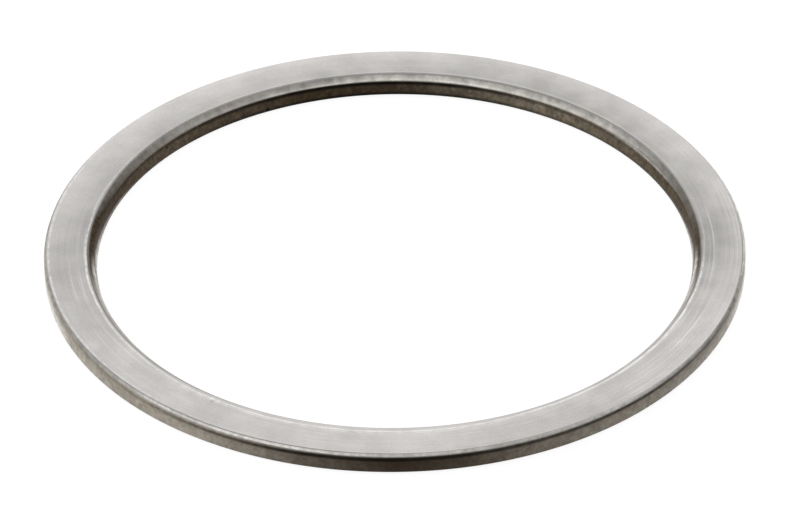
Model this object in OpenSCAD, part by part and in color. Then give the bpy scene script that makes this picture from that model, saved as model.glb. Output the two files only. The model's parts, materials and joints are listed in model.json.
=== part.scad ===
// Flat metal sealing ring, turned in one piece.
// The section has a flat face above and below. The rim is straight, with a chamfer at
// the upper face and a small radius at the lower one. The bore has a straight land at
// its foot, and opens above it through a lead-in taper and a bevel to the upper face.
// The ring lies flat and centred on the origin: its lower face is at z = 0, its axis is Z.

/* [Ring] */
// Diameter of the bore at its land, the narrowest place
bore_d = 68; // [30:0.5:160]
// Width of the ring, from the land out to the rim
ring_w = 6; // [4:0.1:14]
// Thickness of the ring, from the lower face to the upper face
ring_t = 2.5; // [2.1:0.1:8]

/* [Bore] */
// Edge break where the bore meets the lower face
foot_break = 0.15; // [0.05:0.05:0.4]
// Height of the straight land above the edge break
land_h = 0.5; // [0.2:0.05:0.8]
// Width that the lead-in taper opens the bore by, on each side
taper_w = 0.3; // [0.1:0.05:0.8]
// Width of the bevel at the upper face
bevel_w = 0.7; // [0.2:0.05:1.2]
// Height of the bevel below the upper face
bevel_h = 0.7; // [0.3:0.05:1]

/* [Rim] */
// Chamfer where the rim meets the upper face
rim_chamfer = 0.4; // [0.1:0.05:0.8]
// Radius of the edge where the rim meets the lower face
rim_round = 0.4; // [0.1:0.05:0.8]

/* [Hidden] */
turning_steps = 240;
corner_steps = 48;
bore_r = bore_d / 2;
rim_r = bore_r + ring_w;
taper_r = bore_r + taper_w;
face_r = taper_r + bevel_w;
land_z = foot_break + land_h;
bevel_z = ring_t - bevel_h;

// Section of the ring, with the radius along X and the height along Y.
// The lower rim corner is cut straight across, and the circle fills it out to its radius.
module ring_section() {
    polygon([
        [bore_r + foot_break, 0],
        [rim_r - rim_round, 0],
        [rim_r, rim_round],
        [rim_r, ring_t - rim_chamfer],
        [rim_r - rim_chamfer, ring_t],
        [face_r, ring_t],
        [taper_r, bevel_z],
        [bore_r, land_z],
        [bore_r, foot_break],
    ]);
    translate([rim_r - rim_round, rim_round])
        circle(r = rim_round, $fn = corner_steps);
}

// The ring, turned from its section
module sealing_ring() {
    color([0.80, 0.79, 0.77])
        rotate_extrude($fn = turning_steps)
            ring_section();
}

sealing_ring();
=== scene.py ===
import json
import math
from functools import reduce

import bpy
import numpy as np
from mathutils import Matrix, Vector


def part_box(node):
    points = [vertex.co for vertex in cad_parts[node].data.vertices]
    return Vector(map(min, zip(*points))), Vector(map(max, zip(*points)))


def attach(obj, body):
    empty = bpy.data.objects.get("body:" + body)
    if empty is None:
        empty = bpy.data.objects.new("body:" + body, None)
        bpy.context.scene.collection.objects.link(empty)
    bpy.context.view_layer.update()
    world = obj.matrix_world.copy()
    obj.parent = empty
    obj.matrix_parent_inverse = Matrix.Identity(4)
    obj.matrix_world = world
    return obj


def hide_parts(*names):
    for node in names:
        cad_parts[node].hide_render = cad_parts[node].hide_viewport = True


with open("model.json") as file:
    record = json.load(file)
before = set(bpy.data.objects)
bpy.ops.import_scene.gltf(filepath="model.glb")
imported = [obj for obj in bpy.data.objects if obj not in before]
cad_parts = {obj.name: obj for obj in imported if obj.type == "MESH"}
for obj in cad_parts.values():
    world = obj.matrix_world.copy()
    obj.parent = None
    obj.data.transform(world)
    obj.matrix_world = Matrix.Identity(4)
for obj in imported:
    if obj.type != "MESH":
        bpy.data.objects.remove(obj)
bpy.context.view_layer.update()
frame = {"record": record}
mm = 0.001


# Node helper: makes one node, sets its properties, then fills or links its inputs
def addNode(tree, kind, inputs=None, **settings):
    node = tree.nodes.new(kind)
    for name, value in settings.items():
        setattr(node, name, value)
    for name, value in (inputs or {}).items():
        if isinstance(value, bpy.types.NodeSocket):
            tree.links.new(value, node.inputs[name])
        else:
            node.inputs[name].default_value = value
    return node


def mathNode(tree, operation, *values, clamp=False):
    inputs = dict(enumerate(values))
    return addNode(tree, "ShaderNodeMath", inputs, operation=operation, use_clamp=clamp).outputs[0]


# A colour picked on screen (0 to 255 for each channel) as the linear colour a shader takes
def screenColour(red, green, blue):
    linear = [(value / 255 + 0.055) ** 2.4 / 1.055 ** 2.4 if value > 10 else value / 255 / 12.92
              for value in (red, green, blue)]
    return (*linear, 1.0)


print("stage: camera")

# The view of the photo: how far off, how high and how it is framed
viewSettings = {
    "imageWide": 801,        # pixels
    "imageHigh": 510,
    "sensorWide": 36.0,      # mm
    "distance": 680.3,       # mm from the middle of the ring's lower face
    "elevation": 35.42,      # degrees above the floor
    "roll": -0.655,          # degrees, the right side of the ring stands a little higher
    "scalePixels": 349.82,   # pixels that the rim's radius takes at the ring's middle
    "middlePixel": (394.72, 260.61),   # where the middle of the lower face shows
    "nearest": 0.01,         # metres between which the camera sees
    "furthest": 30.0,
}


def addCamera(settings, rimRadius):
    elevation = math.radians(settings["elevation"])
    focalPixels = settings["scalePixels"] * settings["distance"] / rimRadius
    data = bpy.data.cameras.new("camera")
    data.sensor_fit = "HORIZONTAL"
    data.sensor_width = settings["sensorWide"]
    data.lens = focalPixels * settings["sensorWide"] / settings["imageWide"]
    across, down = settings["middlePixel"]
    data.shift_x = (settings["imageWide"] / 2 - across) / settings["imageWide"]
    data.shift_y = (down - settings["imageHigh"] / 2) / settings["imageWide"]
    data.clip_start = settings["nearest"]
    data.clip_end = settings["furthest"]
    camera = bpy.data.objects.new("camera", data)
    bpy.context.scene.collection.objects.link(camera)
    tilt = Matrix.Rotation(math.pi / 2 - elevation, 4, "X")
    roll = Matrix.Rotation(math.radians(settings["roll"]), 4, "Z")
    away = Vector((0.0, -math.cos(elevation), math.sin(elevation))) * settings["distance"] * mm
    camera.matrix_world = Matrix.Translation(away) @ tilt @ roll
    bpy.context.scene.camera = camera


print("stage: ring surface")

ringLow, ringHigh = (np.array(corner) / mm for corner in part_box("sealing_ring"))
boreMount = next(mount for mount in frame["record"]["mounts"] if mount["name"] == "bore")

# All lengths in mm. The rim, the bore and the thickness come from the frame
ringShape = {
    "rimRadius": float(min(ringHigh[0], ringHigh[1], -ringLow[0], -ringLow[1])),
    "boreRadius": float(boreMount["dims"]["r_mm"]),
    "thickness": float(ringHigh[2]),
    "footBreak": 0.15,      # edge break at the foot of the bore
    "landHeight": 0.50,     # straight land above it
    "taperWidth": 0.30,     # lead-in taper, then the bevel up to the face
    "bevelWidth": 0.70,
    "bevelHeight": 0.70,
    "chamferWide": 0.31,    # chamfer of the rim, on the face and down the wall
    "chamferHigh": 0.37,
    "rimRound": 0.40,       # radius at the foot of the rim
    "footEdge": 0.05,       # rounding of the corners at the foot of the bore
    "taperBlend": 0.50,     # roundings that blend land, taper, bevel and face
    "bevelBlend": 1.00,
    "faceBlend": 0.50,
    "faceCrown": 0.03,      # how far the face stands proud in its middle
    "crownBlend": 90.0,
    "chamferEdge": 0.15,    # roundings above and below the rim's chamfer
    "chamferBlend": 0.40,
    "cornerSteps": 5,
    "longestStep": 0.40,    # between two rings of points on a flat stretch
    "holdStep": 0.03,       # narrow strip beside each corner that keeps the flats flat
    "turnSteps": 640,
}


# Section corners in order, from the middle of the lower face in under the bore, up the bore,
# out over the face, down the rim and back: radius, height, rounding and name of each
def sectionCorners(shape):
    bore = shape["boreRadius"]
    rim = shape["rimRadius"]
    top = shape["thickness"]
    taperTop = bore + shape["taperWidth"]
    faceInner = taperTop + shape["bevelWidth"]
    faceOuter = rim - shape["chamferWide"]
    middle = (bore + rim) / 2
    return [
        (middle, 0.0, 0.0, "lowerStart"),
        (bore + shape["footBreak"], 0.0, shape["footEdge"], "footBreakLow"),
        (bore, shape["footBreak"], shape["footEdge"], "footBreakHigh"),
        (bore, shape["footBreak"] + shape["landHeight"], shape["taperBlend"], "landTop"),
        (taperTop, top - shape["bevelHeight"], shape["bevelBlend"], "bevelFoot"),
        (faceInner, top - shape["faceCrown"], shape["faceBlend"], "bevelTop"),
        ((faceInner + faceOuter) / 2, top, shape["crownBlend"], "faceMiddle"),
        (faceOuter, top - shape["faceCrown"], shape["chamferEdge"], "chamferTop"),
        (rim, top - shape["chamferHigh"], shape["chamferBlend"], "chamferFoot"),
        (rim, 0.0, shape["rimRound"], "rimFoot"),
        (middle, 0.0, 0.0, "lowerEnd"),
    ]


# Section line: at each corner an arc that touches both flats, and between two arcs a straight
# run cut into even steps with a narrow strip at each end. Returns the points, the length run
# along the section at each point, and that length at the middle of each named corner
def sectionLine(corners, shape):
    places = np.array([corner[:2] for corner in corners])
    points = [places[0]]
    named = {corners[0][3]: 0}
    for index in range(1, len(corners)):
        here = places[index]
        radius = corners[index][2]
        arc = here[None]
        if radius > 0:
            before = (places[index - 1] - here) / np.linalg.norm(places[index - 1] - here)
            after = (places[index + 1] - here) / np.linalg.norm(places[index + 1] - here)
            half = math.acos(np.clip(before @ after, -1, 1)) / 2
            reach = radius / math.tan(half)
            centre = here + (before + after) / np.linalg.norm(before + after) * radius / math.sin(half)
            start = here + before * reach - centre
            end = here + after * reach - centre
            swing = math.pi - 2 * half
            part = np.linspace(0, 1, 2 * shape["cornerSteps"] + 1)[:, None] * swing
            arc = centre + (start * np.sin(swing - part) + end * np.sin(part)) / math.sin(swing)
        run = arc[0] - points[-1]
        length = np.linalg.norm(run)
        hold = shape["holdStep"] / length
        steps = max(1, math.ceil(length / shape["longestStep"]))
        parts = np.r_[hold, np.linspace(0, 1, steps + 1)[1:-1], 1 - hold]
        points.extend(points[-1] + run * parts[:, None])
        named[corners[index][3]] = len(points) + len(arc) // 2
        points.extend(arc)
    points = np.array(points)
    along = np.r_[0, np.cumsum(np.linalg.norm(np.diff(points, axis=0), axis=1))]
    marks = {name: float(along[index]) for name, index in named.items()}
    return points[:-1], along, marks


# Ring surface: point (angle, length along the section) = (r cos angle, r sin angle, z), where r
# and z are read off the section line. The grid closes on itself both ways, so it has no edge
def makeRing(shape):
    section, along, marks = sectionLine(sectionCorners(shape), shape)
    across = len(section)
    around = shape["turnSteps"]
    angle = np.arange(around) * 2 * math.pi / around
    radius = section[:, 0][None, :]
    height = np.broadcast_to(section[:, 1][None, :], (around, across))
    points = np.stack([radius * np.cos(angle)[:, None], radius * np.sin(angle)[:, None], height], -1)

    points *= mm
    turnIndex, sectionIndex = np.meshgrid(np.arange(around), np.arange(across), indexing="ij")
    nextTurn = (turnIndex + 1) % around
    nextSection = (sectionIndex + 1) % across
    quads = np.stack([turnIndex * across + sectionIndex, turnIndex * across + nextSection,
                      nextTurn * across + nextSection, nextTurn * across + sectionIndex], -1).reshape(-1, 4)
    turned = np.stack([turnIndex, turnIndex, turnIndex + 1, turnIndex + 1], -1) / around
    sided = along[np.stack([sectionIndex, sectionIndex + 1, sectionIndex + 1, sectionIndex], -1)]

    mesh = bpy.data.meshes.new("sealingRing")
    mesh.from_pydata(points.reshape(-1, 3), [], quads)
    mesh.polygons.foreach_set("use_smooth", np.ones(len(quads), bool))
    turning = mesh.uv_layers.new(name="turning")   # u in turns, v in mm along the section
    turning.data.foreach_set("uv", np.stack([turned, sided], -1).astype(np.float32).ravel())
    mesh.update()
    ring = bpy.data.objects.new("turnedRing", mesh)
    bpy.context.scene.collection.objects.link(ring)
    return ring, marks


print("stage: materials")

# Finish of the ring. Colours are as seen on screen and lengths are in mm. What changes round the
# ring is a list of stops, each a bearing and an amount, from 0 to 1 where no more is said. Bearings
# are in degrees, anticlockwise from the right, with 90 at the back
ringFinish = {
    "metal": (216, 213, 210),        # bare turned face
    "bevelMetal": (216, 212, 205),   # bare bevel, a little warmer
    "wornEdgeAndHighlight": (250, 248, 245),     # lines along the edges of the face: painted highlight, partly polished by wear
    "rimFilm": (184, 175, 160),      # film on the rim at its thinnest
    "boreFilm": (138, 128, 112),     # and in the bore
    "filmPaintedShade": (61, 46, 28),       # the same film, darkened where shade is painted on the walls
    "paintedLightFilm": (240, 237, 231),     # and where light is painted on it, pale
    "chamferFilmShade": (164, 161, 155),  # and on the rim's chamfer, duller and greyer as painted shade
    "dark": (10, 7, 4),              # painted shade along the corners of the walls
    "metalRough": 0.24,
    "filmRough": 0.45,
    "filmGloss": 0.06,
    "grooveHeight": 0.0008,

    # tone of the face, where 1 is the metal's own. faceShade paints the shade that falls on the face round
    # the ring, and rimLighter paints light across it
    "faceShade": [(0, 0.68), (15, 0.82), (30, 0.86), (60, 0.8), (90, 0.85), (120, 0.91), (150, 0.86),
                  (165, 0.83), (180, 0.7), (195, 0.8), (210, 0.86), (240, 0.93), (270, 0.98), (300, 0.88),
                  (330, 0.94), (345, 0.84), (360, 0.68)],
    "rimLighter": [(0, 1), (165, 1), (195, 0.4), (240, 0.1), (270, 0.35), (300, 0.15), (330, 0.3), (360, 1)],
    "rimLighterDepth": 0.30,         # painted light: how much lighter the rim's side is where that is 1
    "boreLighterDepth": 0.08,        # and the bore's side where it is 0
    # real turning streaks; how strongly they show round the ring is painted light, strongest where the light
    # catches them
    "streaked": [(0, 0.9), (20, 0.5), (45, 0.3), (150, 0.3), (175, 0.6), (195, 0.6), (225, 0.4), (270, 0.45),
                 (300, 0.7), (330, 0.95), (360, 0.9)],
    "streakTurns": 1.6,              # how often a streak changes round the ring
    "streakFine": 5.5,               # streaks in a mm of the section
    "streakBroad": 1.2,
    "fineShare": 0.6,                # the rest of the streaks are broad
    "streakDepth": 0.11,
    "scratched": [(0, 1), (15, 0.6), (30, 0.1), (170, 0.1), (185, 0.8), (205, 0.9), (225, 0.3), (285, 0.3),
                  (305, 1), (360, 1)],
    "scratchThin": 3.0,              # single bright turning lines, as streaks in a mm
    "scratchNoise": (0.58, 0.70),    # noise at which one starts and is full
    "scratchDepth": 0.30,
    "cloudSize": 3.5,                # soft clouding
    "cloudDepth": 0.07,
    "grainSize": 0.22,               # fine grain
    "grainDepth": 0.035,

    # bright lines along the inner edge of the face and along its outer one: painted highlight where the edges
    # catch the light, partly polished by wear
    "wornAndHighlightShare": [(0, 0.1), (20, 0), (140, 0), (165, 0.45), (180, 0.55), (190, 0.9), (215, 0.5), (240, 0.9),
                  (300, 0.9), (330, 1), (345, 0.9), (352, 0.5), (360, 0.1)],
    "wornAndHighlightShift": [(0, -0.1), (140, -0.35), (182, -0.3), (190, -0.1), (200, 0.1), (215, 0.42), (240, 0.85),
                  (255, 1), (280, 1), (300, 0.5), (318, 0.1), (335, -0.15), (345, -0.25), (360, -0.2)],
    "wornAndHighlightShiftDepth": 0.36,          # how far outwards 1 is
    "wornAndHighlightTwice": [(0, 0), (205, 0), (230, 0.5), (250, 0.7), (290, 0.6), (310, 0.1), (360, 0)],
    "rimWornAndHighlight": [(0, 0), (130, 0), (150, 0.3), (165, 0.6), (180, 0.5), (190, 0.6), (215, 0.45), (250, 0.2),
                (280, 0.1), (360, 0)],
    "wobbleSize": 4.0,               # how these lines wander
    "wobbleDepth": 0.07,
    "beadSize": 0.9,                 # and break up into beads
    "beadNoise": (0.35, 0.6),
    "beadFaint": 0.4,

    # edge between the face and the rim's chamfer: painted shade, darker, over 0, and painted highlight,
    # lighter, under it
    "edgeLine": [(0, 1), (12, 0.5), (45, 0.15), (120, 0.15), (150, 0), (210, 0.1), (225, 0.55), (245, 0.55),
                 (258, 0.52), (270, 0.15), (285, -0.3), (300, -0.25), (315, -0.6), (330, -0.45), (340, 0),
                 (348, 0.6), (360, 1)],
    "edgeLineDepth": 0.45,

    # chamfer of the rim: a dull film over it, which paints shade, and how far that is pale, which paints
    # light
    "chamferDull": [(0, 1), (20, 1), (45, 0.5), (135, 0.5), (160, 1), (200, 1), (215, 0.5), (228, 0),
                    (247, 0), (256, 0.2), (272, 0.24), (281, 0.06), (288, 0.35), (298, 0.35), (303, 0.1),
                    (311, 0.1), (318, 0.45), (340, 1), (360, 1)],
    "chamferPale": [(0, 0.8), (10, 0.85), (25, 1), (60, 0.5), (120, 0.3), (150, 0), (335, 0), (350, 0.5),
                    (360, 0.8)],
    "chamferSpotSize": 0.7,          # its uneven polish
    "chamferSpotDepth": 0.22,

    # bevel of the bore: a dull film over it that paints shade, and how much more of that there is at its top
    # than at its foot
    "bevelDull": [(0, 1), (15, 0.62), (24, 0.12), (28, 0), (104, 0), (112, 0.1), (125, 0.26), (135, 0.26),
                  (150, 0.5), (165, 0.75), (175, 1.2), (182, 1.05), (188, 0.9), (196, 0.27), (208, 0.36),
                  (225, 0.18), (240, 0.06), (305, 0.06), (320, 0.26), (335, 0.4), (345, 0.25), (351, 0.9),
                  (356, 0.95), (360, 1)],
    "bevelDullTop": [(0, 0.1), (12, -0.2), (45, -0.1), (60, 0), (130, 0), (140, -0.15), (150, -0.5),
                     (168, -0.55), (178, 0.2), (184, 0.4), (190, 0.2), (196, 0.5), (215, 0.2), (235, 0),
                     (330, 0), (345, 0.4), (351, 0.1), (360, 0.1)],
    # pale film on the foot of the bevel, which paints light
    "bevelPale": [(0, 0), (18, 0), (26, 0.5), (36, 0.45), (44, 0), (181, 0), (184, 0.25), (187, 0.8),
                  (194, 0.55), (205, 0), (340, 0), (347, 0.95), (352, 0.9), (355, 0.55), (357, 0.2),
                  (360, 0)],
    # dull film in a line along the upper corner of the bevel, which paints shade in that corner
    "bevelLine": [(0, 0.3), (10, 0.1), (25, 0), (170, 0), (180, 0.6), (188, 0.8), (205, 0.5), (215, 0.5),
                  (230, 0.4), (245, 0.2), (300, 0.1), (315, 0.2), (330, 0.4), (340, 0.5), (354, 0.9),
                  (360, 0.3)],
    "bevelLineShift": [(0, 0), (195, 0), (212, 0.1), (230, 0.1), (245, 0.05), (300, 0.05), (320, 0),
                       (345, 0), (353, -0.06), (360, -0.1)],
    "bevelLight": [(0, 0), (20, 0), (24, 0.4), (28, 1), (32, 0.8), (36, 0.5), (42, 0), (360, 0)],
    "bevelLightDepth": 0.50,         # painted light: how much lighter it is all over where that is 1
    "bevelFade": [(0, 0), (22, 0.1), (28, 0.4), (32, 0.9), (38, 1), (60, 1), (75, 0.8), (90, 1), (125, 0.8),
                  (140, 0.5), (160, 0), (360, 0)],
    "bevelFadeDepth": 0.60,          # painted light: how much lighter its foot is than its top
    "bevelFadeMiddle": 0.52,         # share of its width at which neither is
    "bevelSpotSize": 1.1,            # its uneven polish
    "bevelSpotDepth": 0.18,
    "glints": [(64, 34.6, 2.1, 0.9), (80, 34.6, 2.1, 1.2), (84, 34.6, 2.1, 1.2), (100, 34.65, 2.15, 1.6)],
    "glintDepth": 0.13,              # painted highlights at the back: bearing, radius, height and size of each
    "cornerLight": [(0, 0), (20, 0.25), (30, 0.55), (45, 0.79), (60, 0.82), (75, 0.9), (90, 0.68),
                    (120, 0.62), (132, 0.31), (150, 0.12), (160, 0.17), (175, 0), (360, 0)],
    "cornerLightDepth": 0.40,        # painted highlight: how much lighter the corner above it is

    # film on the walls: how far painted shade darkens it, and where painted light makes it pale. In the bore
    # that pale part reaches up to a share of the height of the wall, and none under 0
    "rimFilmShade": [(0, 0), (195, 0), (205, 0.26), (210, 0.2), (240, 0.1), (255, 0.72), (270, 1), (280, 0.85),
                 (290, 0.54), (300, 0.44), (315, 0.44), (330, 0.52), (338, 0.4), (346, 0), (360, 0)],
    "boreFilmShade": [(0, 0.9), (15, 0.86), (30, 0.66), (48, 0.36), (62, 0.15), (75, 0.46), (90, 0.86),
                  (108, 0.9), (120, 0.72), (140, 0.62), (165, 0.95), (180, 0.96), (195, 0.7), (330, 0.6),
                  (350, 0.75), (360, 0.9)],
    # pale film on the rim's wall, growing towards its foot: painted light
    "rimPale": [(0, 1), (195, 1), (200, 0.6), (205, 0.3), (210, 0.22), (225, 0.1), (285, 0), (315, 0.15),
                (330, 0.3), (338, 0.34), (342, 0.65), (347, 1), (360, 1)],
    "borePale": [(0, 0.5), (12, 0.02), (25, -0.2), (150, -0.1), (160, 0.08), (168, 0.2), (174, 0.4),
                 (180, 0.66), (188, 0.72), (200, 1.2), (340, 0.8), (352, 0.5), (360, 0.5)],
    "borePaleSoft": (-0.25, 0.3),    # shares of the height below and above that, between which it fades
    "mottleSize": 0.5,               # mottling
    "rimMottleDepth": 0.24,
    "boreMottleDepth": 0.42,
    "patchSize": 1.5,                # and larger patches
    "patchDepth": 0.14,
    "specks": [(115.9, 33.96, 0.40, 0.32), (132.3, 33.96, 0.25, 0.2), (141.0, 34.2, 1.35, 0.2)],

    # painted shade: dark lines along the corners of the walls
    "rimLine": [(0, 0), (185, 0), (195, 0.1), (210, 0.2), (225, 0.3), (240, 0.7), (255, 0.97), (270, 1),
                (284, 0.9), (291, 0.76), (315, 0.82), (330, 0.5), (345, 0.35), (355, 0), (360, 0)],
    "rimLineShift": [(0, 0), (185, -0.5), (195, -0.46), (210, -0.28), (225, 0.04), (245, 0.1), (258, 0.03),
                     (270, 0.04), (285, 0), (300, -0.08), (315, -0.14), (330, -0.3), (345, -0.42),
                     (360, -0.5)],
    "boreLine": [(0, 0.1), (30, 0.3), (60, 0.55), (75, 0.92), (105, 1), (120, 0.8), (145, 0.4), (165, 0.3),
                 (182, 0), (350, 0), (360, 0.1)],
    "breakSize": 1.0,                # how they fade in places
    "breakNoise": (0.36, 0.56),
    "breakDepth": 0.14,

    # small nick in the face at the front left, drawn as painted highlight and painted shade: bearing, radius,
    # height and size of its parts
    "nickLight": (235.25, 35.6, 2.48, 0.26),
    "nickPale": (236.7, 35.62, 2.48, 0.3),
    "nickPaleShare": 0.6,
    "nickShade": (235.7, 35.98, 2.48, 0.3),
    "nickShadeDepth": 0.25,
}

# Bands across the section, from the foot of the bore up over the face and down to the foot of the
# rim. Each stop is a corner of the section, the mm past it, and the share of the band there
ringZones = {
    "turned": [("bevelFoot", -0.12, 0), ("bevelFoot", 0.02, 1),
               ("chamferFoot", -0.13, 1), ("chamferFoot", 0.02, 0)],
    "outside": [("bevelTop", 0, 0), ("faceMiddle", 0, 1)],
    "faceWidth": [("bevelTop", 0, 0), ("chamferTop", 0, 1)],
    "boreHeight": [("footBreakHigh", 0, 0), ("bevelFoot", -0.1, 1)],
    "belowBevel": [("bevelFoot", -0.1, 1), ("bevelFoot", 0.15, 0)],
    "bevel": [("bevelTop", -0.25, 1), ("bevelTop", 0, 0)],
    "bevelWidth": [("bevelFoot", -0.1, 0), ("bevelTop", 0, 1)],
    "bevelPale": [("bevelFoot", -0.35, 0), ("bevelFoot", -0.1, 1),
                  ("bevelFoot", 0.2, 1), ("bevelFoot", 0.5, 0)],
    "bevelLine": [("bevelTop", -0.28, 0), ("bevelTop", -0.12, 1),
                  ("bevelTop", -0.02, 1), ("bevelTop", 0.12, 0)],
    "corner": [("bevelTop", -0.16, 0), ("bevelTop", -0.02, 1), ("bevelTop", 0.45, 0)],
    # bands of the painted highlight lines along the edges of the face, partly polished by wear
    "worn": [("bevelTop", 0.16, 0), ("bevelTop", 0.27, 1), ("bevelTop", 0.38, 1), ("bevelTop", 0.5, 0)],
    "wornAndHighlightTwice": [("bevelTop", 0.52, 0), ("bevelTop", 0.64, 1), ("bevelTop", 0.78, 0)],
    "rimWornAndHighlight": [("chamferTop", -0.36, 0), ("chamferTop", -0.24, 1),
                ("chamferTop", -0.14, 1), ("chamferTop", -0.02, 0)],
    "edgeLine": [("chamferTop", -0.16, 0), ("chamferTop", -0.02, 1),
                 ("chamferTop", 0.06, 1), ("chamferTop", 0.16, 0)],
    "chamfer": [("chamferTop", 0, 0), ("chamferTop", 0.08, 1),
                ("chamferFoot", -0.1, 1), ("chamferFoot", 0, 0)],
    "pastChamfer": [("chamferTop", 0, 0), ("chamferTop", 0.08, 1)],
    "rimHeight": [("chamferFoot", 0.1, 0), ("rimFoot", -0.8, 1)],
    "lines": [("footBreakLow", 0, 1), ("footBreakHigh", 0.12, 0.95), ("footBreakHigh", 0.45, 0),
              ("bevelFoot", -0.56, 0), ("bevelFoot", -0.34, 1),
              ("bevelFoot", -0.08, 1), ("bevelFoot", 0.03, 0),
              ("chamferFoot", -0.02, 0), ("chamferFoot", 0.13, 1),
              ("chamferFoot", 0.35, 1), ("chamferFoot", 0.58, 0)],
}


# Turned steel: bare metal on the face and its corners and a brown film on the walls, told apart by
# the length along the section
def ringMaterial(finish, zones, marks):
    material = bpy.data.materials.new("turnedSteel")
    material.use_nodes = True
    tree = material.node_tree
    shader = tree.nodes["Principled BSDF"]
    place = addNode(tree, "ShaderNodeTexCoord").outputs["Object"]
    turning = addNode(tree, "ShaderNodeUVMap", uv_map="turning").outputs[0]
    turn, along = addNode(tree, "ShaderNodeSeparateXYZ", {0: turning}).outputs[:2]
    perimeter = marks["lowerEnd"]

    def joined(operation, values):
        return reduce(lambda first, second: mathNode(tree, operation, first, second), values)

    def plus(*values):
        return joined("ADD", values)

    def minus(*values):
        return joined("SUBTRACT", values)

    def times(*values):
        return joined("MULTIPLY", values)

    def most(*values):
        return joined("MAXIMUM", values)

    def mixed(share, first, second):
        node = addNode(tree, "ShaderNodeMix", {"Factor": share, 6: first, 7: second}, data_type="RGBA")
        return node.outputs[2]

    def paint(name):
        return screenColour(*finish[name])

    def vectorNode(operation, inputs, output=0):
        return addNode(tree, "ShaderNodeVectorMath", inputs, operation=operation).outputs[output]

    def scaled(vector, factor):
        return vectorNode("SCALE", {0: vector, "Scale": factor})

    # a number from one range carried over to another, and held at the ends of it
    def fitted(value, low, high, newLow=0.0, newHigh=1.0):
        ends = {1: low, 2: high, 3: newLow, 4: newHigh}
        return addNode(tree, "ShaderNodeMapRange", {"Value": value, **ends}).outputs[0]

    def ramp(position, stops, whole):
        node = addNode(tree, "ShaderNodeValToRGB", {"Fac": position})
        elements = node.color_ramp.elements
        elements.remove(elements[0])
        elements[0].position = 1.0
        for at, amount in stops[:-1]:
            elements.new(at / whole).color = (amount, amount, amount, 1.0)
        elements[-1].color = (stops[-1][1],) * 3 + (1.0,)
        return node.outputs["Color"]

    # a list of the finish read round the ring. A ramp holds only 0 to 1, so the amounts are squeezed
    # into it and stretched out again
    def around(name):
        squeezed = ramp(turn, [(bearing, amount / 4 + 0.5) for bearing, amount in finish[name]], 360)
        return times(minus(squeezed, 0.5), 4.0)

    # a band of the section, moved outwards over it by a number of mm
    def zone(name, shift=0.0):
        stops = [(marks[corner] + past, amount) for corner, past, amount in zones[name]]
        stops = [(0.0, stops[0][1]), *stops, (perimeter, stops[-1][1])]
        return ramp(mathNode(tree, "DIVIDE", minus(along, shift), perimeter), stops, perimeter)

    def blotches(size, detail):
        inputs = {"Vector": place, "Scale": 1 / (size * mm), "Detail": detail}
        return addNode(tree, "ShaderNodeTexNoise", inputs).outputs["Fac"]

    # noise that is long round the ring and thin across it
    def streaks(thin, seed):
        outward = vectorNode("NORMALIZE", {0: vectorNode("MULTIPLY", {0: place, 1: (1.0, 1.0, 0.0)})})
        lifted = addNode(tree, "ShaderNodeCombineXYZ", {"Z": times(along, thin)}).outputs[0]
        vector = vectorNode("ADD", {0: scaled(outward, finish["streakTurns"]), 1: lifted})
        inputs = {"Vector": vector, "W": seed, "Scale": 1.0, "Detail": 2.0}
        return addNode(tree, "ShaderNodeTexNoise", inputs, noise_dimensions="4D").outputs["Fac"]

    # noise as a change of tone, as much up as down
    def uneven(noise, depth):
        return fitted(noise, 0.3, 0.7, -depth, depth)

    # round spot that fades from half its size outwards
    def spot(bearing, radius, height, size):
        angle = math.radians(bearing)
        middle = (radius * mm * math.cos(angle), radius * mm * math.sin(angle), height * mm)
        away = vectorNode("DISTANCE", {0: place, 1: middle}, "Value")
        return fitted(away, size * mm, size * mm / 2)

    outside = zone("outside")
    bevel = zone("bevel")
    bevelWidth = zone("bevelWidth")
    chamfer = zone("chamfer")
    grooves = streaks(finish["streakFine"], 1.0)

    # dull film over the bevel and the chamfer, and in a line along the upper corner of the bevel: painted
    # shade
    def dullShare():
        tilt = times(minus(bevelWidth, 0.5), around("bevelDullTop"))
        bevelDull = mathNode(tree, "ADD", around("bevelDull"), tilt, clamp=True)
        line = times(zone("bevelLine", around("bevelLineShift")), around("bevelLine"))
        return most(times(bevel, bevelDull), times(zone("pastChamfer"), around("chamferDull")), line)

    # painted shade along the corners of the walls and at the foot of the bore, faded in places by noise
    def paintedShadeLines():
        lines = zone("lines", times(outside, around("rimLineShift")))
        share = mixed(outside, around("boreLine"), around("rimLine"))
        noise = blotches(finish["breakSize"], 3.0)
        return times(lines, share, fitted(noise, *finish["breakNoise"], 1 - finish["breakDepth"], 1.0))

    # painted highlight lines along the edges of the face, partly polished by wear, and the painted highlight
    # of the nick
    def wornAndHighlightLines():
        wobble = uneven(blotches(finish["wobbleSize"], 3.0), finish["wobbleDepth"])
        shift = plus(wobble, times(around("wornAndHighlightShift"), finish["wornAndHighlightShiftDepth"]))
        beads = fitted(blotches(finish["beadSize"], 2.0), *finish["beadNoise"], finish["beadFaint"], 1.0)
        first = times(zone("worn", shift), around("wornAndHighlightShare"))
        second = times(zone("wornAndHighlightTwice", shift), around("wornAndHighlightTwice"), beads)
        outer = times(zone("rimWornAndHighlight"), beads, around("rimWornAndHighlight"))
        lines = times(most(first, second, outer), beads)
        nickPale = times(spot(*finish["nickPale"]), finish["nickPaleShare"])
        return most(lines, spot(*finish["nickLight"]), nickPale)

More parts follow.
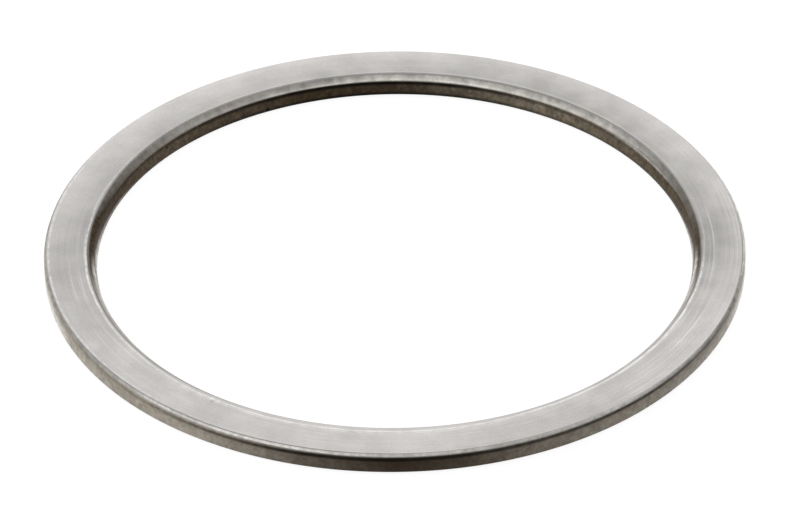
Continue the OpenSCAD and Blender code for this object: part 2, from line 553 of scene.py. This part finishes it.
    # streaks and single bright lines that run round, as turning leaves them; how strongly the streaks show
    # round the ring is painted light
    def turningMarks():
        fine = times(grooves, finish["fineShare"])
        broad = times(streaks(finish["streakBroad"], 4.0), 1 - finish["fineShare"])
        streaked = times(uneven(plus(fine, broad), finish["streakDepth"]), around("streaked"))
        noise = streaks(finish["scratchThin"], 9.0)
        scratch = fitted(noise, *finish["scratchNoise"], 0.0, finish["scratchDepth"])
        return plus(streaked, times(scratch, around("scratched")))

    # painted light and shade that make the bevel and the corner above it lighter or darker than the face,
    # with the bevel's uneven polish
    def bevelTone():
        light = times(around("bevelLight"), finish["bevelLightDepth"])
        fromMiddle = minus(finish["bevelFadeMiddle"], bevelWidth)
        fade = times(fromMiddle, around("bevelFade"), finish["bevelFadeDepth"])
        spots = uneven(blotches(finish["bevelSpotSize"], 3.0), finish["bevelSpotDepth"])
        glints = [times(spot(*glint), finish["glintDepth"]) for glint in finish["glints"]]
        corner = times(zone("corner"), around("cornerLight"), finish["cornerLightDepth"])
        return plus(times(bevel, plus(light, fade, spots, *glints)), corner)

    # tone of the bare metal: painted shade round the ring and across the face, painted shade and highlight
    # along the edge, the nick's painted shade, the bevel's painted light, and real clouding, grain, polish
    # and turning marks
    def metalTone():
        depths = -finish["boreLighterDepth"], finish["rimLighterDepth"]
        slope = times(minus(zone("faceWidth"), 0.5), fitted(around("rimLighter"), 0.0, 1.0, *depths))
        cloud = uneven(blotches(finish["cloudSize"], 2.0), finish["cloudDepth"])
        grain = uneven(blotches(finish["grainSize"], 2.0), finish["grainDepth"])
        chamferSpots = uneven(blotches(finish["chamferSpotSize"], 3.0), finish["chamferSpotDepth"])
        edge = times(zone("edgeLine"), around("edgeLine"), finish["edgeLineDepth"])
        # painted shade of the nick
        nick = times(spot(*finish["nickShade"]), finish["nickShadeDepth"])
        spots = times(chamfer, chamferSpots)
        tone = plus(around("faceShade"), slope, cloud, grain, spots, turningMarks(), bevelTone())
        return minus(tone, edge, nick)

    # painted light, as pale film: at the foot of the walls, on the foot of the bevel and on the chamfer
    def paintedLightShare():
        wall = fitted(minus(around("borePale"), zone("boreHeight")), *finish["borePaleSoft"])
        bore = most(times(wall, zone("belowBevel")), times(zone("bevelPale"), around("bevelPale")))
        rim = most(times(zone("rimHeight"), around("rimPale")), times(chamfer, around("chamferPale")))
        return mixed(outside, bore, rim)

    # walls: brown film, darkened by painted shade and made pale by painted light round the ring, mottled,
    # with painted shade along the corners and real dark specks
    def wallColour(lined):
        shadeShare = mixed(outside, around("boreFilmShade"), around("rimFilmShade"))
        thin = mixed(outside, paint("boreFilm"), paint("rimFilm"))
        film = mixed(chamfer, mixed(shadeShare, thin, paint("filmPaintedShade")), paint("chamferFilmShade"))
        film = mixed(paintedLightShare(), film, paint("paintedLightFilm"))
        mottleDepth = fitted(outside, 0.0, 1.0, finish["boreMottleDepth"], finish["rimMottleDepth"])
        mottle = times(uneven(blotches(finish["mottleSize"], 4.0), 1.0), mottleDepth)
        patches = uneven(blotches(finish["patchSize"], 2.0), finish["patchDepth"])
        # painted shade of the corner lines, together with the real dark specks in the bore
        shadeAndSpecks = most(lined, *(spot(*speck) for speck in finish["specks"]))
        return mixed(shadeAndSpecks, scaled(film, plus(1.0, mottle, patches)), paint("dark"))

    lined = paintedShadeLines()
    bare = times(zone("turned"), minus(1.0, dullShare()), minus(1.0, lined))
    metal = scaled(mixed(bevel, paint("metal"), paint("bevelMetal")), metalTone())
    metal = mixed(wornAndHighlightLines(), metal, paint("wornEdgeAndHighlight"))
    tree.links.new(mixed(bare, wallColour(lined), metal), shader.inputs["Base Color"])
    tree.links.new(bare, shader.inputs["Metallic"])
    rough = fitted(bare, 0.0, 1.0, finish["filmRough"], finish["metalRough"])
    tree.links.new(rough, shader.inputs["Roughness"])
    shader.inputs["Specular IOR Level"].default_value = finish["filmGloss"]
    bump = addNode(tree, "ShaderNodeBump", {"Height": grooves, "Strength": 1.0,
                                            "Distance": finish["grooveHeight"] * mm})
    tree.links.new(bump.outputs[0], shader.inputs["Normal"])
    return material


# Floor: seen white by the camera and in reflections, and it still takes the ring's soft shadow
floorFinish = {
    "paint": 0.30,
    "glow": 0.85,
    "radius": 6.0,       # metres
    "gap": 0.00001,      # metres below the ring
}


def floorMaterial(finish):
    material = bpy.data.materials.new("paleFloor")
    material.use_nodes = True
    tree = material.node_tree
    tree.nodes.clear()
    path = addNode(tree, "ShaderNodeLightPath").outputs
    seen = mathNode(tree, "MAXIMUM", path["Is Camera Ray"], path["Is Glossy Ray"])
    seen = mathNode(tree, "MAXIMUM", seen, path["Is Transmission Ray"])
    paint = addNode(tree, "ShaderNodeBsdfDiffuse", {"Color": (finish["paint"],) * 3 + (1.0,)})
    glow = addNode(tree, "ShaderNodeEmission", {"Strength": mathNode(tree, "MULTIPLY", seen, finish["glow"])})
    both = addNode(tree, "ShaderNodeAddShader", {0: paint.outputs[0], 1: glow.outputs[0]})
    addNode(tree, "ShaderNodeOutputMaterial", {"Surface": both.outputs[0]})
    return material


def makeFloor(finish):
    reach = finish["radius"]
    corners = [(-reach, -reach), (reach, -reach), (reach, reach), (-reach, reach)]
    mesh = bpy.data.meshes.new("floor")
    mesh.from_pydata([(x, y, -finish["gap"]) for x, y in corners], [], [(0, 1, 2, 3)])
    floor = bpy.data.objects.new("floor", mesh)
    bpy.context.scene.collection.objects.link(floor)
    floor.data.materials.append(floorMaterial(finish))
    return floor


print("stage: light")

# Soft boxes round the ring. The bearing goes anticlockwise from the right, with 90 behind;
# the size is in metres and the brightness is what a mirror would show
softBoxes = {
    "backBox": {"bearing": 90, "elevation": 22, "away": 1.6, "wide": 3.0, "high": 1.3, "bright": 0.63},
    "frontBox": {"bearing": 258, "elevation": 52, "away": 1.6, "wide": 1.1, "high": 0.8, "bright": 0.48},
    "leftBox": {"bearing": 205, "elevation": 38, "away": 1.6, "wide": 1.9, "high": 1.1, "bright": 0.64},
    "rightBox": {"bearing": 330, "elevation": 38, "away": 1.6, "wide": 2.2, "high": 0.8, "bright": 0.38},
}

# Low fill lamps for the walls, too far to the sides to show in the metal
fillLamps = {
    "leftFill": {"bearing": 178, "elevation": 7, "away": 1.6, "wide": 0.9, "high": 0.3, "bright": 14.0},
    "rightFill": {"bearing": 2, "elevation": 7, "away": 1.6, "wide": 0.9, "high": 0.3, "bright": 9.0},
}

# The room behind them: dim at the horizon, brighter towards the ceiling
roomLight = {
    "horizon": 0.15,
    "ceiling": 0.46,
    "from": 10,      # degrees above the horizon between which it brightens
    "to": 50,
}


def addLamp(name, box, mirrored):
    data = bpy.data.lights.new(name, "AREA")
    data.shape = "RECTANGLE"
    data.size = box["wide"]
    data.size_y = box["high"]
    data.energy = box["bright"] * math.pi * box["wide"] * box["high"]
    lamp = bpy.data.objects.new(name, data)
    bpy.context.scene.collection.objects.link(lamp)
    bearing = math.radians(box["bearing"])
    elevation = math.radians(box["elevation"])
    way = Vector((math.cos(bearing) * math.cos(elevation), math.sin(bearing) * math.cos(elevation),
                  math.sin(elevation)))
    lamp.location = way * box["away"]
    lamp.visible_glossy = mirrored
    lamp.rotation_euler = way.to_track_quat("Z", "Y").to_euler()


# Room: brightness read off the height of the view direction, and white below the horizon,
# where the floor ends
def roomWorld(light):
    world = bpy.data.worlds.new("room")
    world.use_nodes = True
    tree = world.node_tree
    height = addNode(tree, "ShaderNodeSeparateXYZ",
                     {0: addNode(tree, "ShaderNodeTexCoord").outputs["Generated"]}).outputs["Z"]
    above = addNode(tree, "ShaderNodeMapRange", {
        "Value": height, 1: math.sin(math.radians(light["from"])), 2: math.sin(math.radians(light["to"])),
        3: light["horizon"], 4: light["ceiling"]}, interpolation_type="SMOOTHSTEP").outputs[0]
    level = mathNode(tree, "MAXIMUM", above, mathNode(tree, "LESS_THAN", height, 0.0))
    tree.links.new(level, tree.nodes["Background"].inputs["Strength"])
    tree.nodes["Background"].inputs["Color"].default_value = (1.0, 1.0, 1.0, 1.0)
    bpy.context.scene.world = world


addCamera(viewSettings, ringShape["rimRadius"])
ring, marks = makeRing(ringShape)
ring.data.materials.append(ringMaterial(ringFinish, ringZones, marks))
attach(ring, "root")
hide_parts("sealing_ring")
makeFloor(floorFinish)
for name, box in softBoxes.items():
    addLamp(name, box, True)
for name, lamp in fillLamps.items():
    addLamp(name, lamp, False)
roomWorld(roomLight)
bpy.context.scene.view_settings.view_transform = "Standard"

print("stage: size")
